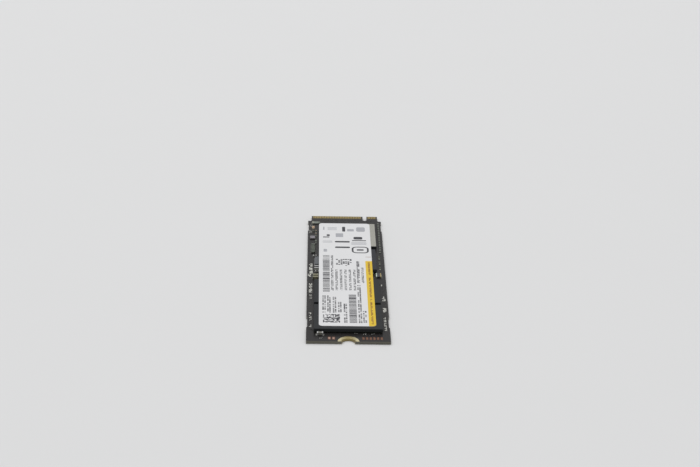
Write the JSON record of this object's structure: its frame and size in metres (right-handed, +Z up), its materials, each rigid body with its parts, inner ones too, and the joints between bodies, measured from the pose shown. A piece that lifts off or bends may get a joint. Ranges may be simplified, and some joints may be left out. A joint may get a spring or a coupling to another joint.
{
  "type": "m2 solid-state drive",
  "caption": "Slim circuit card with black memory packages and a silver-topped controller under a printed label, a keyed gold edge connector and a half-round screw notch.",
  "frame": {"origin": "middle of the card's underside, the bottom centre of its box", "axes": "+X across the card to the right, seen from the screw notch; +Y along the card towards the edge contacts; +Z up out of the component side"},
  "size_m": [0.022, 0.08, 0.0021],
  "materials": {
    "solder_mask": "semi-gloss black solder mask on glass-epoxy laminate",
    "gold_plating": "thin gold plating, satin",
    "bare_copper": "dulled copper",
    "mould_compound": "fine matt epoxy mould compound",
    "solder": "reflowed tin solder",
    "nickel_plate": "satin nickel plating",
    "dark_ceramic": "dark ceramic",
    "ferrite": "pressed metal-powder core",
    "tinned_metal": "matt tin",
    "fuse_glaze": "grey-green glaze",
    "tan_ceramic": "fired tan ceramic",
    "brown_ceramic": "fired brown ceramic",
    "resistor_glaze": "black glaze",
    "label_sheet": "satin printed label"
  },
  "bodies": {
    "root": {"bulk_capacitors": "tan_ceramic", "bulk_capacitors_caps": "tinned_metal", "bypass_capacitors": "brown_ceramic", "bypass_capacitors_caps": "tinned_metal", "chip_resistors": "resistor_glaze", "chip_resistors_caps": "tinned_metal", "circuit_board": "solder_mask", "contact_fingers_bottom": "gold_plating", "contact_fingers_top": "gold_plating", "controller_heat_spreader": "nickel_plate", "controller_package": "mould_compound", "controller_solder_balls": "solder", "crystal_case": "dark_ceramic", "crystal_lid": "nickel_plate", "current_shunt": "resistor_glaze", "current_shunt_caps": "tinned_metal", "dram_package": "mould_compound", "dram_solder_balls": "solder", "input_fuse": "fuse_glaze", "input_fuse_caps": "tinned_metal", "label": "label_sheet", "nand_package_1": "mould_compound", "nand_package_2": "mould_compound", "nand_solder_balls_1": "solder", "nand_solder_balls_2": "solder", "power_inductor_plates": "tinned_metal", "power_inductors": "ferrite", "power_manager": "mould_compound", "power_manager_lands": "solder", "screw_notch_ring": "gold_plating", "supply_choke": "ferrite", "supply_choke_caps": "tinned_metal", "test_lands": "bare_copper"}
  },
  "joints": []
}
